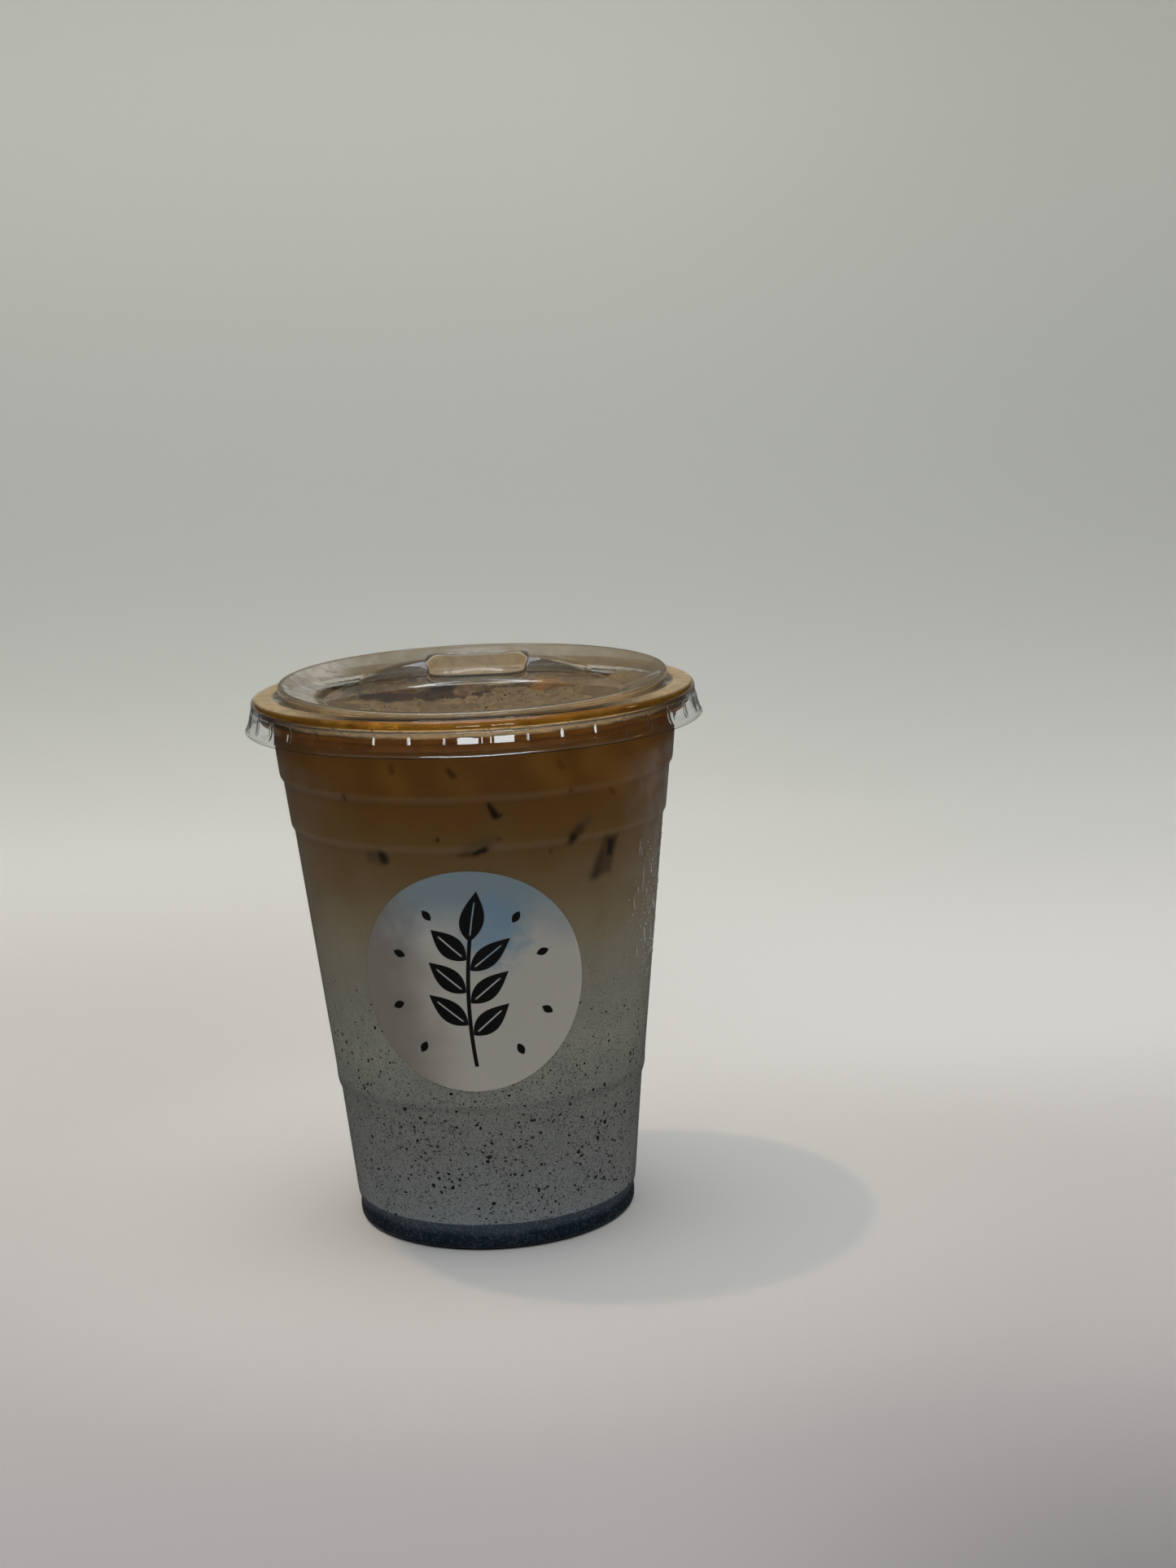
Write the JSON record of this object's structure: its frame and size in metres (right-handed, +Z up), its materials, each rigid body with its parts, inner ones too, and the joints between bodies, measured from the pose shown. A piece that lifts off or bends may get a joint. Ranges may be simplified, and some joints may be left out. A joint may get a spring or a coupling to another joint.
{
  "type": "iced coffee over black sesame milk in a clear lidded takeaway cup",
  "caption": "Iced coffee layered over grey black sesame milk in a tapered clear cup with a clear sip lid, a round sticker on the front, froth and ice under the lid.",
  "frame": {"origin": "centre of the flat foot ring, on the surface that the cup stands on", "axes": "+Z up along the cup's axis; -Y the front with the sticker; +Y the back with the mouthpiece of the lid; +X to the right seen from the front"},
  "size_m": [0.1038, 0.1038, 0.1275],
  "materials": {
    "clear_cup": "clear glossy PET, thermoformed",
    "clear_lid": "clear glossy PET, thermoformed",
    "sticker": null,
    "sesame_paste": "wet, near black, fine grained",
    "sesame_milk": "opaque grey liquid with dark specks",
    "milk_coffee": "opaque brown liquid, paler towards the bottom",
    "froth": "fine beige-grey froth with dark specks",
    "thin_coffee": "clear amber coffee",
    "ice": "wet ice tinted by coffee"
  },
  "bodies": {
    "root": {"cup": "clear_cup", "lid": "clear_lid", "label": "sticker", "sesame_sediment": "sesame_paste", "sesame_milk": "sesame_milk", "coffee": "milk_coffee", "foam": "froth", "rim_coffee": "thin_coffee", "ice_back_left": "ice", "ice_back_middle": "ice", "ice_back_right": "ice", "ice_right": "ice", "ice_left": "ice", "ice_front": "ice"}
  },
  "joints": []
}
